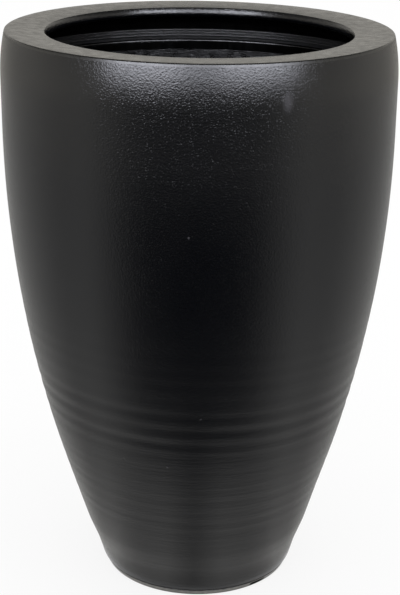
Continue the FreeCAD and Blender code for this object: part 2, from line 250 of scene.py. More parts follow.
def satinTurnedPaint():
    # two-pack satin black, rolled and sprayed over turned fibreglass: a smooth dark gloss that
    # stipple breaks up at the edges of highlights, over fine level streaks left by turning
    look = turnedPaint
    material, add, here = startMaterial("satinTurnedPaint", look)
    peel = add("TexNoise", {
        "Vector": here, "Scale": perMetre(look["peelSize"]), "Detail": 2.0, "Roughness": 0.45})
    speck = add("TexVoronoi", {"Vector": here, "Scale": perMetre(look["speckSize"])})
    speckTop = add("MapRange", {
        "Value": (speck, "Distance"), **spans((0, look["speckWidth"]), (1, 0))}, **smooth)
    speckShare = add("MapRange", {
        "Value": (speck, "Color"), **spans((0, 1), look["speckSpan"])})
    speckLift = add("Math", {
        0: (speckTop, "Result"), 1: (speckShare, "Result")}, **multiply)
    along = perMetre(look["streakLength"])
    stretch = add("Mapping", {
        "Vector": here, "Scale": (along, along, perMetre(look["streakSize"]))})
    streak = add("TexNoise", {
        "Vector": (stretch, "Vector"), "Scale": 1.0, "Detail": 3.0, "Roughness": 0.6})
    cloud = add("TexNoise", {
        "Vector": here, "Scale": perMetre(look["cloudSize"]), "Detail": 4.0})
    nib = add("TexVoronoi", {"Vector": here, "Scale": perMetre(look["nibSize"])})
    nibTop = add("MapRange", {
        "Value": (nib, "Distance"), **spans((0, look["nibWidth"]), (1, 0))}, **smooth)
    split = add("SeparateXYZ", {0: here})
    fadeFrom, fadeTo = look["streakUntil"]
    low = add("MapRange", {
        "Value": (split, "Z"), **spans((fadeFrom * mm, fadeTo * mm), (1.0, look["streakLeft"]))})
    lowStreak = add("Math", {0: (streak, "Fac"), 1: (low, "Result")}, **multiply)
    markShade = markLift = None
    for centre, (across, up), shade, lift in look["marks"]:
        away = add("VectorMath", {0: here, 1: centre}, operation="SUBTRACT")
        reach = add("VectorMath", {
            0: (away, "Vector"), 1: (perMetre(across), perMetre(across), perMetre(up))}, **multiply)
        far = add("VectorMath", {0: (reach, "Vector")}, operation="LENGTH")
        near = add("MapRange", {
            "Value": (far, "Value"), **spans((0, 1), (1, 0))}, **smooth)
        markShade = add("Math", {
            0: (near, "Result"), 1: shade, 2: (markShade, "Value") if markShade else 0.0},
            operation="MULTIPLY_ADD")
        markLift = add("Math", {
            0: (near, "Result"), 1: lift, 2: (markLift, "Value") if markLift else 0.0},
            operation="MULTIPLY_ADD")
    return finishMaterial(material, look, (cloud, "Fac"), [
        ((lowStreak, "Value"), look["streakHeight"]),
        ((markLift, "Value"), 1.0),
        ((peel, "Fac"), look["peelHeight"]),
        ((speckLift, "Value"), look["speckHeight"]),
        ((nibTop, "Result"), look["nibHeight"])],
        over=((markShade, "Value"), look["markTint"]))


rimFinish = {
    "colours": ("#080807", "#131312"), "ior": 1.47, "roughness": (0.24, 0.34),
    "mottleSize": 14, "mottleSpan": (0.35, 0.7),
    "peelSize": 2.4, "peelHeight": 0.03, "dustSize": 9, "dustWidth": (0.03, 0.08),
}


def satinRimPaint():
    # the same black, flatted and sprayed on the moulded rim: an even sheen with a faint mottle
    # from handling and a few specks of dust
    look = rimFinish
    material, add, here = startMaterial("satinRimPaint", look)
    cloud = add("TexNoise", {
        "Vector": here, "Scale": perMetre(look["mottleSize"]), "Detail": 5.0, "Roughness": 0.65})
    peel = add("TexNoise", {"Vector": here, "Scale": perMetre(look["peelSize"]), "Detail": 2.0})
    dust = add("TexVoronoi", {"Vector": here, "Scale": perMetre(look["dustSize"])})
    speck = add("MapRange", {
        "Value": (dust, "Distance"), **spans(look["dustWidth"], (1, 0))})
    mottle = add("MapRange", {"Value": (cloud, "Fac"), **spans(look["mottleSpan"])})
    shade = add("Math", {0: (mottle, "Result"), 1: (speck, "Result")}, operation="MAXIMUM")
    return finishMaterial(material, look, (shade, "Value"), [
        ((peel, "Fac"), look["peelHeight"])], gloss=(mottle, "Result"))


laminate = {
    "colours": ("#020203", "#070709"), "ior": 1.42, "roughness": (0.24, 0.42),
    "glossSpan": (0.3, 0.7),
    "strandLength": 26, "strandWidth": 2.4,   # real strands are under 1 mm wide; drawn to show
    "strandTurns": (8, 67, 128), "strandHeight": 0.5, "lumpSize": 16, "lumpHeight": 0.8,
    "wallRadius": 0.28, "levelFrom": 0.8,     # the map's radius in metres, and what it lays flat
}


def brushedLaminate():
    # chopped strand laid up by hand and brushed black: crossed strands and lumps of resin
    # show through the paint and catch the light unevenly
    look = laminate
    material, add, here = startMaterial("brushedLaminate", look)
    strands = None
    for turn in look["strandTurns"]:
        lay = add("Mapping", {
            "Vector": (here[0], "UV"), "Rotation": (0, 0, math.radians(turn)),
            "Scale": (perMetre(look["strandLength"]), perMetre(look["strandWidth"]), 1)})
        strand = add("TexNoise", {"Vector": (lay, "Vector"), "Scale": 1.0, "Detail": 2.0})
        strands = add("Math", {
            0: (strand, "Fac"), 1: (strands, "Value") if strands else 0.0}, operation="MAXIMUM")
    lump = add("TexNoise", {"Vector": here, "Scale": perMetre(look["lumpSize"]), "Detail": 3.0})
    return finishMaterial(material, look, (lump, "Fac"), [
        ((lump, "Fac"), look["lumpHeight"]),
        ((strands, "Value"), look["strandHeight"])])


# the mouth's colours sit darker than the outside's black, as painted shade inside the mouth
innerFinishWithPaintedShade = {
    "colours": ("#010101", "#030303"), "ior": 1.33, "roughness": (0.14, 0.22),
    "glossSpan": (0.3, 0.7), "runWidth": 9, "runLength": 60, "runHeight": 0.12,
}
hoopFinish = {
    "colours": ("#08080a", "#101013"), "ior": 1.5, "roughness": (0.34, 0.46),
    "glossSpan": (0.3, 0.7), "runWidth": 9, "runLength": 4, "runHeight": 0.3,
}


def floodedPaint(name, look):
    # black flooded on inside the mouth: smoother than outside, with slow runs, and its colours set
    # darker than outside's as painted shade of the mouth; on the hoop it lies thinner and drier,
    # and follows the ribs
    material, add, here = startMaterial(name, look)
    width = perMetre(look["runWidth"])
    hang = add("Mapping", {"Vector": here, "Scale": (width, width, perMetre(look["runLength"]))})
    runs = add("TexNoise", {"Vector": (hang, "Vector"), "Scale": 1.0, "Detail": 3.0})
    return finishMaterial(material, look, (runs, "Fac"), [((runs, "Fac"), look["runHeight"])])


pasteFinish = {
    "colours": ("#0b0b0b", "#161514"), "ior": 1.5, "roughness": (0.42, 0.42),
    "lumpSize": 5, "lumpHeight": 0.3, "bubbleSize": 4, "bubbleWidth": 0.2,
}


def curedPaste():
    # filled polyester paste squeezed out along a joint and left to cure: evenly dull, lumpy,
    # with small pits where bubbles broke
    look = pasteFinish
    material, add, here = startMaterial("curedPaste", look)
    lump = add("TexNoise", {"Vector": here, "Scale": perMetre(look["lumpSize"]), "Detail": 3.0})
    bubble = add("TexVoronoi", {"Vector": here, "Scale": perMetre(look["bubbleSize"])})
    pit = add("MapRange", {
        "Value": (bubble, "Distance"), **spans((0, look["bubbleWidth"]))}, **smooth)
    return finishMaterial(material, look, (lump, "Fac"), [
        ((lump, "Fac"), look["lumpHeight"]),
        ((pit, "Result"), look["lumpHeight"])])


# the grey second colour on the low band is partly wear and partly a painted reflection of the pale
# floor
footFinish = {
    "colours": ("#060606", "#7b7973"), "ior": 1.45, "roughness": (0.24, 0.6),
    "greyBandHeight": (7.0, 9.8), "scuffSize": 7, "scuffSpan": (0.3, 0.6),
    "peelSize": 3, "peelHeight": 0.1,
}


def footPaintWornAndPaintedReflection():
    # the shell's black on the foot ring, dulled and greyed low down, with scuffs that follow the
    # edge: the grey band is partly wear from being walked over the floor and partly a painted
    # reflection of the pale floor, which the down-facing band does not catch
    look = footFinish
    material, add, here = startMaterial("footPaintWornAndPaintedReflection", look)
    split = add("SeparateXYZ", {0: here})
    greyFullTo, greyNoneFrom = look["greyBandHeight"]
    low = add("MapRange", {
        "Value": (split, "Z"), **spans((greyFullTo * mm, greyNoneFrom * mm), (1, 0))})
    scuff = add("TexNoise", {
        "Vector": here, "Scale": perMetre(look["scuffSize"]), "Detail": 6.0, "Roughness": 0.7})
    scuffEdge = add("MapRange", {"Value": (scuff, "Fac"), **spans(look["scuffSpan"])})
    # wear and painted reflection: full grey low down, fading out upwards, broken up by scuffs
    wearAndPaintedReflection = add("Math", {0: (low, "Result"), 1: (scuffEdge, "Result")}, **multiply)
    peel = add("TexNoise", {"Vector": here, "Scale": perMetre(look["peelSize"]), "Detail": 2.0})
    return finishMaterial(material, look, (wearAndPaintedReflection, "Value"), [((peel, "Fac"), look["peelHeight"])])


bushFinish = {
    "colours": ("#0d0d0e", "#151515"), "ior": 1.49, "roughness": (0.28, 0.4),
    "glossSpan": (0.3, 0.7), "cloudSize": 12,
    "sparkSize": 0.9, "sparkHeight": 0.03,    # spark-eroded grain is finer; drawn to show
    "toolPitch": 1.4, "toolHeight": 0.02,
}


def mouldedPolypropylene():
    # injection-moulded black polypropylene: waxy sheen, fine grain of the mould and the
    # rings of its turned tool
    look = bushFinish
    material, add, here = startMaterial("mouldedPolypropylene", look)
    spark = add("TexNoise", {"Vector": here, "Scale": perMetre(look["sparkSize"]), "Detail": 2.0})
    cloud = add("TexNoise", {"Vector": here, "Scale": perMetre(look["cloudSize"]), "Detail": 3.0})
    # at scale 1 a wave comes back after pi / 10
    tool = add("TexWave", {
        "Vector": here, "Scale": perMetre(look["toolPitch"]) * math.pi / 10},
        wave_type="RINGS", rings_direction="Z")
    return finishMaterial(material, look, (cloud, "Fac"), [
        ((tool, "Fac"), look["toolHeight"]),
        ((spark, "Fac"), look["sparkHeight"])])


rubberFinish = {
    "colours": ("#121212", "#232321"), "ior": 1.52, "roughness": (0.5, 0.72),
    "bloomSize": 7, "bloomSpan": (0.4, 0.7),
    "grainSize": 0.7, "grainHeight": 0.05,
}


def mouldedRubber():
    # moulded EPDM rubber: nearly matt, with a pale bloom in patches and a fine dry grain
    look = rubberFinish
    material, add, here = startMaterial("mouldedRubber", look)
    bloom = add("TexNoise", {
        "Vector": here, "Scale": perMetre(look["bloomSize"]), "Detail": 5.0, "Roughness": 0.6})
    patch = add("MapRange", {"Value": (bloom, "Fac"), **spans(look["bloomSpan"])})
    grain = add("TexNoise", {"Vector": here, "Scale": perMetre(look["grainSize"]), "Detail": 2.0})
    return finishMaterial(material, look, (patch, "Result"), [
        ((grain, "Fac"), look["grainHeight"])])


shellPaint = satinTurnedPaint()
rimPaint = satinRimPaint()
laminatePaint = brushedLaminate()
mouthPaint = floodedPaint("innerPaintWithPaintedShade", innerFinishWithPaintedShade)
hoopPaint = floodedPaint("floodedHoopPaint", hoopFinish)
paste = curedPaste()
footPaint = footPaintWornAndPaintedReflection()
bushPlastic = mouldedPolypropylene()
plugRubber = mouldedRubber()
print("materials made")


# ---- the form that all the fibreglass pieces share

shellForm = {
    "shoulderDrop": 69, "shoulderRadius": 300, "uprightBand": 74, "sweepRadius": 1900,
    "taperHeight": 200, "footHeight": 60, "footInset": 22,
    "footPull": 2.4, "footPullAt": 50, "footPullHalf": 42,  # the turned foot is a little hollow
    "wallLower": 8, "wallUpper": 4,
    "lean": 0.425, "leanFrom": 350, "leanOver": 450,  # degrees that the top leans to the right
    "outOfRound": 0.5, "outScale": Vector((7, 7, 9)),  # how far the wall wanders in and out
    "footShift": 1.25, "footShiftOver": 150,  # the foot stands a little to the right
}
# heights and depths of the hollows left by turning; they run a little down to the right
turning = {
    "hollows": ((137, 0.22), (158, 0.30), (180, 0.24), (203, 0.30), (222, 0.18), (243, 0.17),
                (262, 0.12), (290, 0.32), (313, 0.72), (339, 0.74), (365, 0.50), (392, 0.16),
                (420, 0.22), (443, 0.19), (470, 0.15), (713, 0.05), (742, 0.05), (766, 0.06),
                (783, 0.06)),
    "half": 12.5, "slant": 1.4, "uneven": 0.8, "unevenScale": 6, "skin": 0.5,
}
topHeight = cadBox[1].z / mm
bellyRadius = nodeBox("outer_shell")[1].x


def plainRadius(height):
    form = shellForm
    shoulder = topHeight - form["shoulderDrop"]
    belly = shoulder - form["uprightBand"]
    leanSine = (belly - form["taperHeight"]) / form["sweepRadius"]
    slope = leanSine / math.sqrt(1 - leanSine ** 2)
    taperRadius = bellyRadius - form["sweepRadius"] * (1 - math.sqrt(1 - leanSine ** 2))
    footTop = taperRadius - (form["taperHeight"] - form["footHeight"]) * slope
    if height > shoulder:
        return (bellyRadius - form["shoulderRadius"]
                + math.sqrt(form["shoulderRadius"] ** 2 - (height - shoulder) ** 2))
    if height > belly:
        return bellyRadius
    if height > form["taperHeight"]:
        return (bellyRadius - form["sweepRadius"]
                + math.sqrt(form["sweepRadius"] ** 2 - (belly - height) ** 2))
    if height > form["footHeight"]:
        return taperRadius - (form["taperHeight"] - height) * slope
    return footTop - (form["footHeight"] - height) * form["footInset"] / form["footHeight"]


def wallRadius(height):
    # outer radius of the shell at a height, with the foot drawn in
    away = min(1, abs(height - shellForm["footPullAt"]) / shellForm["footPullHalf"])
    return plainRadius(height) - shellForm["footPull"] * roundFade(away)


def turnHollows(bm):
    # the outside dips a little at each turning mark, more at some places round it than others
    slant = math.tan(math.radians(turning["slant"]))
    for vert in bm.verts:
        co = vert.co
        radius = math.hypot(co.x, co.y)
        if radius < (wallRadius(co.z / mm) - turning["skin"]) * mm:
            continue
        height = (co.z + slant * co.x) / mm
        dip = 0
        for centre, depth in turning["hollows"]:
            away = abs(height - centre) / turning["half"]
            if away < 1:
                place = Vector((*co.xy * turning["unevenScale"], centre))
                dip += depth * (1 + turning["uneven"] * noise.noise(place)) * roundFade(away)
        vert.co = Vector((co.x * (1 - dip * mm / radius), co.y * (1 - dip * mm / radius), co.z))


def handTurned(bm):
    # the wall wanders in and out, and towards the top it leans down to the right
    form = shellForm
    for vert in bm.verts:
        co = vert.co
        radius = math.hypot(co.x, co.y)
        swell = waver(co * form["outScale"])
        scale = 1 - form["outOfRound"] * mm * swell / radius
        rise = min(1, max(0, (co.z / mm - form["leanFrom"]) / form["leanOver"]))
        rise = rise * rise * (3 - 2 * rise)
        drop = math.tan(math.radians(form["lean"])) * (co.x + bellyRadius * mm) * rise
        shift = form["footShift"] * mm * max(0, 1 - co.z / mm / form["footShiftOver"])
        vert.co = Vector((co.x * scale + shift, co.y * scale, co.z - drop))


def raggedRing(bm, change):
    # moves each vertex by what change says for its place: out from the axis, and up
    for vert in bm.verts:
        co = vert.co
        radius = math.hypot(co.x, co.y)
        outward, up = change(co, radius)
        scale = 1 + outward * mm / radius
        vert.co = Vector((co.x * scale, co.y * scale, co.z + up * mm))


# ---- outer shell

shell = {"segments": 288, "fineRow": 3, "ringRowsTo": 480, "coarseRow": 8, "lastRow": 2,
         "mouthRows": (875, 862, 851, 841), "innerRow": 18, "arcSteps": 8, "seam": 0.05,
         "edgeRound": 4, "bottomRound": 1.8, "bottomSteps": 5, "insideFrom": -0.1,
         "ledgeRaise": 3,               # the ledge lies this much higher than on the solid
         "ledgeRound": 3.9, "ledgeDepth": 6, "ledgePaint": (-7, 1), "smoothInsideTo": 815}
ledge = nodeBox("inner_hoop")[0].z + shell["ledgeRaise"]


def makeOuterShell():
    low = nodeBox("outer_shell")[0].z
    top = nodeBox("rim_bond_line")[1].z - shell["seam"]
    lower, upper = shellForm["wallLower"], shellForm["wallUpper"]
    heights = []
    height = low + shell["edgeRound"]
    while height < top - shell["lastRow"]:
        heights.append(height)
        height += shell["fineRow"] if height < shell["ringRowsTo"] else shell["coarseRow"]
    outside = [(wallRadius(z), z) for z in heights + [top]]
    inside = [(wallRadius(z) - upper, z) for z in (top, *shell["mouthRows"])]
    step = wallRadius(ledge) - lower
    inside += softOutline([
        (step + upper, ledge, 0),
        (step, ledge, shell["ledgeRound"]),
        (step, ledge - shell["ledgeDepth"], 0)], shell["arcSteps"])
    height = ledge - shell["innerRow"]
    while height > low + shell["edgeRound"]:
        inside.append((wallRadius(height) - lower, height))
        height -= shell["innerRow"]
    bottomRadius = wallRadius(low)
    edge = softOutline([
        (*inside[-1], 0),
        (bottomRadius - lower, low, 0),
        (bottomRadius, low, shell["bottomRound"]),
        (outside[0][0], outside[0][1] + shell["fineRow"], 0)], shell["bottomSteps"])[1:-1]
    bm = spinOutline(outside + inside + edge, shell["segments"])
    turnHollows(bm)
    handTurned(bm)
    layMap(bm)
    # laminate low down inside, flooded black darkened as painted shade above it, and the outside's
    # paint on the ledge
    paintFrom, paintTo = shell["ledgePaint"]
    for face in bm.faces:
        height = face.calc_center_median().z / mm
        if outwardShare(face) < shell["insideFrom"] and not paintFrom < height - ledge < paintTo:
            face.material_index = 2 if height > shell["smoothInsideTo"] else 1
    finishPiece("outerShell", bm, [shellPaint, laminatePaint, mouthPaint],
                "outer_shell")


makeOuterShell()


# ---- rim ring with its rolled lip

rim = {"segments": 288, "arcSteps": 8, "height": 5, "edgeInset": 1.15, "edgeRound": 2.4,
       "drop": 3.1, "width": 59, "lipDepth": 14.5, "lipWidth": 12, "lipFace": 26, "lipBelly": 11.5,
       "lipRows": (3.2, 4.5, 6, 7.5, 9), "lipTop": 1.7, "lipBottom": 3.5, "plate": 5.9,
       "spigotWidth": 8, "spigotDepth": 5, "spigotGap": 0.5,
       "lipPaintFrom": 0.6, "lipPaintBelow": 2}


def lipRadius(below):
    # the lip's face bulges towards the mouth, at a depth below the flat
    return rim["lipFace"] - math.sqrt(rim["lipFace"] ** 2 - (below - rim["lipBelly"]) ** 2)


def makeRimRing():
    joint = topHeight - rim["height"]
    outer = wallRadius(joint)
    mouth = outer - rim["height"] - rim["width"]
    mouthTop = topHeight - rim["drop"]
    lipBottom = mouthTop - rim["lipDepth"]
    under = mouthTop - rim["plate"]
    lipBack = mouth + rim["lipWidth"]
    spigot = outer - shellForm["wallUpper"] - rim["spigotGap"]
    spigotInner = spigot - rim["spigotWidth"]
    spigotBottom = under - rim["spigotDepth"]
    corners = [
        (outer, joint, 0),
        (outer - rim["edgeInset"], topHeight, rim["edgeRound"]),
        (mouth + lipRadius(0), mouthTop, rim["lipTop"])]
    corners += [(mouth + lipRadius(below), mouthTop - below, 0) for below in rim["lipRows"]]
    corners += [
        (mouth + lipRadius(rim["lipDepth"]), lipBottom, rim["lipBottom"]),
        (lipBack, lipBottom, 0),
        (lipBack, under, 0),
        (spigotInner, under, 0),
        (spigotInner, spigotBottom, 0),
        (spigot, spigotBottom, 0),
        (spigot, joint, 0)]
    bm = spinOutline(softOutline(corners, rim["arcSteps"]), rim["segments"])
    handTurned(bm)
    bm.normal_update()
    # the lip's face is rolled with the shell's paint
    paintFrom = (lipBottom - rim["lipPaintBelow"]) * mm
    for face in bm.faces:
        if outwardShare(face) < -rim["lipPaintFrom"] and face.calc_center_median().z > paintFrom:
            face.material_index = 1
    finishPiece("rimRing", bm, [rimPaint, shellPaint], "rim_ring")


makeRimRing()


# ---- what holds the rim: a bead of paste in the joint, and glass tape over it from inside

bead = {"segments": 288, "sink": 0.12, "inset": 0.3, "skin": 1, "waver": 0.1, "waverScale": 60,
        "paintFrom": 0.5}


def makeRimBond():
    # the bead was dressed flush and painted over, so only a hairline of it shows outside
    low, high = nodeBox("rim_bond_line")
    outer = wallRadius(high.z) - bead["sink"]
    inner = wallRadius(low.z) - shellForm["wallUpper"] - bead["inset"]
    skin = (outer - bead["skin"]) * mm
    corners = [(inner, low.z), (outer, low.z), (outer, high.z), (inner, high.z)]
    bm = spinOutline(corners, bead["segments"])
    raggedRing(bm, lambda co, radius: (
        bead["waver"] * noise.noise(co * bead["waverScale"]) if radius > skin else 0, 0))
    handTurned(bm)
    bm.normal_update()
    for face in bm.faces:
        if outwardShare(face) > bead["paintFrom"]:
            face.material_index = 1
    finishPiece("rimBond", bm, [paste, shellPaint], "rim_bond_line")


rimTape = {"gap": 0.05, "lapInset": 8.2, "edge": 1.5, "edgeRound": 0.5, "swell": 1.6,
           "swellHeight": 8, "swellRound": 3, "waver": 2.2, "waverTo": 6, "waverScale": 22}


def makeRimTape():
    low, high = nodeBox("rim_tape")
    inside = shellForm["wallUpper"] + rimTape["gap"]
    wallTop = wallRadius(high.z) - inside
    wallLow = wallRadius(low.z) - inside
    lapTop = wallRadius(topHeight - rim["height"]) - shellForm["wallUpper"] - rimTape["lapInset"]
    corners = [
        (wallLow, low.z, 0),
        (wallTop, high.z, 0),
        (lapTop, high.z, 0),
        (wallLow - rimTape["edge"] * rimTape["swell"], low.z + rimTape["swellHeight"],
         rimTape["swellRound"]),
        (wallLow - rimTape["edge"], low.z, rimTape["edgeRound"])]
    bm = spinOutline(softOutline(corners), bead["segments"])
    bottom = (low.z + rimTape["waverTo"]) * mm
    raggedRing(bm, lambda co, radius: (
        0, rimTape["waver"] * waver(co * rimTape["waverScale"]) if co.z < bottom else 0))
    handTurned(bm)
    layMap(bm)
    finishPiece("rimTape", bm, [mouthPaint], "rim_tape")


makeRimBond()
makeRimTape()


# ---- ribbed hoop on the inner step; a rib's levels are shares of the pitch

hoop = {"segments": 240, "arcSteps": 3, "thick": 3.4, "topThick": 0.9, "toeThick": 1.5, "toe": 6.0,
        "toeRound": 0.3, "ribs": 3, "ribDepth": 2.2, "ribFrom": 0.15, "ribTo": 0.6,
        "ribRound": 0.8, "grooveAt": 0.85, "grooveRound": 0.5}


def makeInnerHoop():
    low, high = nodeBox("inner_hoop")
    outer = high.x
    face = outer - hoop["thick"]
    toe = outer - hoop["toeThick"]
    corners = [(toe, low.z, hoop["toeRound"]), (outer, low.z, 0),
               (outer - hoop["topThick"], high.z, 0)]
    pitch = (high.z - low.z - hoop["toe"]) / hoop["ribs"]
    for i in range(hoop["ribs"]):
        top = high.z - i * pitch
        corners += [(face, top - hoop["ribFrom"] * pitch, hoop["ribRound"]),
                    (face, top - hoop["ribTo"] * pitch, hoop["ribRound"])]
        if i < hoop["ribs"] - 1:
            corners.append((face + hoop["ribDepth"], top - hoop["grooveAt"] * pitch,
                            hoop["grooveRound"]))
    corners.append((toe, low.z + hoop["toe"], hoop["toeRound"]))
    bm = spinOutline(softOutline(corners, hoop["arcSteps"]), hoop["segments"])
    handTurned(bm)
    layMap(bm)
    finishPiece("innerHoop", bm, [hoopPaint], "inner_hoop")


makeInnerHoop()


# ---- foot ring with its drain notches, and the paste that bonds it

foot = {"segments": 288, "arcSteps": 8, "edgeLow": 6.0, "edgeHigh": 2.2, "edgeHeight": 6,
        "tread": 2.5, "width": 37.5, "ringHeight": 9.5, "ringRound": 0.6, "boreRound": 1.5,
        "upstandWidth": 12, "upstandRound": 2, "sharpAngle": 35,
        "wear": 0.3, "wearDepth": 4, "wearScale": 25}
notch = {"count": 3, "width": 31, "height": 7, "round": 2, "roundSteps": 4, "turn": 39.5,
         "length": 200, "out": 150}


def cutNotches(piece):
    # drain notches under the ring, each cut from the middle outwards
    cutters = []
    for i in range(notch["count"]):
        bm = bmesh.new()
        bmesh.ops.create_cube(bm, size=1)
        along = [e for e in bm.edges if abs(e.verts[0].co.y - e.verts[1].co.y) > 0.5]
        bmesh.ops.scale(bm, vec=(notch["width"] * mm, notch["length"] * mm,
                                 notch["height"] * 2 * mm), verts=bm.verts)
        bmesh.ops.bevel(bm, geom=along, offset=notch["round"] * mm, affect="EDGES",
                        segments=notch["roundSteps"], profile=0.5, material=-1)
        bmesh.ops.translate(bm, vec=(0, -notch["out"] * mm, 0), verts=bm.verts)
        turn = math.radians(notch["turn"] + 360 / notch["count"] * i)
        bmesh.ops.rotate(bm, verts=bm.verts, matrix=Matrix.Rotation(turn, 3, "Z"))
        cutters.append(addMesh("notch", bm))
        cut = piece.modifiers.new("notch", "BOOLEAN")
        cut.operation = "DIFFERENCE"
        cut.object = cutters[-1]
    bpy.context.view_layer.update()
    shaped = piece.evaluated_get(bpy.context.evaluated_depsgraph_get())
    mesh = bpy.data.meshes.new_from_object(shaped)
    piece.modifiers.clear()
    piece.data = mesh
    for cutter in cutters:
        bpy.data.objects.remove(cutter)
    mesh.set_sharp_from_angle(angle=math.radians(foot["sharpAngle"]))


def makeFootRing():
    low, high = nodeBox("foot_ring")
    outer = high.x
    bore = outer - foot["width"]
    upstand = bore + foot["upstandWidth"]
    corners = [
        (bore, low.z, foot["boreRound"]),
        (outer - foot["edgeLow"], low.z, foot["tread"]),
        (outer - foot["edgeHigh"], foot["edgeHeight"], foot["edgeHeight"] / 2),
        (outer, foot["ringHeight"], foot["ringRound"]),
        (upstand, foot["ringHeight"], 0),
        (upstand, high.z, foot["upstandRound"]),
        (bore, high.z, foot["upstandRound"])]
    bm = spinOutline(softOutline(corners, foot["arcSteps"]), foot["segments"])
    worn = (outer - foot["wearDepth"]) * mm
    raggedRing(bm, lambda co, radius: (
        -foot["wear"] * waver(co * foot["wearScale"]) if radius > worn else 0, 0))
    handTurned(bm)
    piece = finishPiece("footRing", bm, [footPaint], "foot_ring")
    cutNotches(piece)


footBead = {"outSwell": 0.6, "inSwell": 0.8, "waver": 0.35, "waverScale": 50}


def makeFootBond():
    low, high = nodeBox("foot_bond_line")
    outer = high.x
    inner = wallRadius(high.z) - shellForm["wallLower"]
    middle = (low.z + high.z) / 2
    outline = [(inner, low.z), (outer, low.z), (outer + footBead["outSwell"], middle),
               (outer, high.z), (inner, high.z), (inner - footBead["inSwell"], middle)]
    bm = spinOutline(outline, bead["segments"])
    raggedRing(bm, lambda co, radius: (
        footBead["waver"] * noise.noise(co * footBead["waverScale"]), 0))
    handTurned(bm)
    finishPiece("footBond", bm, [paste], "foot_bond_line")


makeFootRing()
makeFootBond()


# ---- false floor, and the glass tape that fillets it to the wall

floorForm = {"segments": 144, "rings": 14, "holeInset": 10, "holeRound": 1.2, "holeEdge": 3,
             "uneven": 0.5, "sag": 0.6, "unevenScale": 35, "unevenFrom": 4, "flatTo": 35}
floorTape = {"gap": 0.05, "width": 32, "hollow": 1.2, "steps": 10, "toeWaver": 3.0, "toeWidth": 12,
             "toeScale": 30, "topWaver": 1.5, "topHeight": 8, "topScale": 20, "topSag": 0.6}


def makeBaseFloor():
    low, high = nodeBox("base_floor")
    outer = high.x
    hole = nodeBox("drain_bush")[1].x - floorForm["holeInset"]
    corners = [(hole, low.z, 0), (outer, low.z, 0), (outer, high.z, 0)]
    for i in range(1, floorForm["rings"]):
        inward = (hole + floorForm["holeEdge"] - outer) * i / floorForm["rings"]
        corners.append((outer + inward, high.z, 0))
    corners.append((hole, high.z, floorForm["holeRound"]))
    bm = spinOutline(softOutline(corners), floorForm["segments"])
    topFrom = (low.z + floorForm["unevenFrom"]) * mm

    def sag(co, radius):
        if co.z <= topFrom or radius <= floorForm["flatTo"] * mm:
            return 0, 0
        rough = noise.noise(co * floorForm["unevenScale"]) - floorForm["sag"]
        return 0, floorForm["uneven"] * rough

    raggedRing(bm, sag)
    layMap(bm)
    finishPiece("baseFloor", bm, [laminatePaint], "base_floor")


def makeFloorTape():
    low, high = nodeBox("floor_tape")
    inside = shellForm["wallLower"] + floorTape["gap"]
    wall = wallRadius(low.z) - inside
    toe = wall - floorTape["width"]
    start = Vector((wallRadius(high.z) - inside, high.z))
    end = Vector((toe, low.z))
    chord = end - start
    bend = floorTape["hollow"] * chord.length
    away = math.sqrt(bend ** 2 - (chord.length / 2) ** 2)
    aside = Vector((chord.y, -chord.x)).normalized() * away
    centre = (start + end) / 2 + aside
    if centre.x > wall:
        centre = (start + end) / 2 - aside
    steps = floorTape["steps"]
    hollow = [centre + (start - centre).slerp(end - centre, i / steps).normalized() * bend
              for i in range(steps)]
    bm = spinOutline([(toe, low.z), (wall, low.z)] + hollow, floorForm["segments"])
    toeTo = (toe + floorTape["toeWidth"]) * mm
    topFrom = (high.z - floorTape["topHeight"]) * mm

    def feather(co, radius):
        outward = up = 0
        if radius < toeTo:
            outward = floorTape["toeWaver"] * noise.noise(co * floorTape["toeScale"])
        if co.z > topFrom:
            rough = noise.noise(co * floorTape["topScale"]) - floorTape["topSag"]
            up = floorTape["topWaver"] * rough
        return outward, up

    raggedRing(bm, feather)
    layMap(bm)
    finishPiece("floorTape", bm, [laminatePaint], "floor_tape")


makeBaseFloor()
makeFloorTape()


# ---- drain bush and the plug that lifts out of it

bush = {"segments": 96, "flangeOver": 10.2, "flangeThick": 3, "wall": 4.5, "flangeRound": 1.2,
        "boreRound": 0.6, "tailRound": 0.8, "groove": (2.4, 3.0, 4.2, 4.8), "grooveDepth": 0.5}


def makeDrainBush():
    low, high = nodeBox("drain_bush")
    flange = high.x
    sleeve = flange - bush["flangeOver"]
    bore = sleeve - bush["wall"]
    floorTop = high.z - bush["flangeThick"]
    corners = [
        (bore, low.z, bush["tailRound"]),
        (sleeve, low.z, bush["tailRound"]),
        (sleeve, floorTop, 0),
        (flange, floorTop, 0),
        (flange, high.z, bush["flangeRound"])]
    for inset, depth in zip(bush["groove"], (0, bush["grooveDepth"], bush["grooveDepth"], 0)):
        corners.append((flange - inset, high.z - depth, 0))
    corners.append((bore, high.z, bush["boreRound"]))
    bm = spinOutline(softOutline(corners), bush["segments"])
    finishPiece("drainBush", bm, [bushPlastic], "drain_bush")


plug = {"segments": 96, "seatGap": 0.2, "flangeOver": 7.0, "flangeRound": 1.4, "seatRound": 0.8,
        "neckRound": 0.4, "tip": 1.0, "tipInset": 1.2, "tipRound": 0.8,
        "beads": (0.2, 0.47, 0.74),    # where the beads lie, as shares of the shank
        "beadDepth": 0.7, "beadHalf": 2.0, "beadFlat": 0.6, "beadRound": 0.5}
tab = {"width": 22, "height": 18, "thick": 6, "hole": 5, "round": 1.2, "roundSteps": 4,
       "steps": 48, "sunk": 1, "sharp": 1.0}


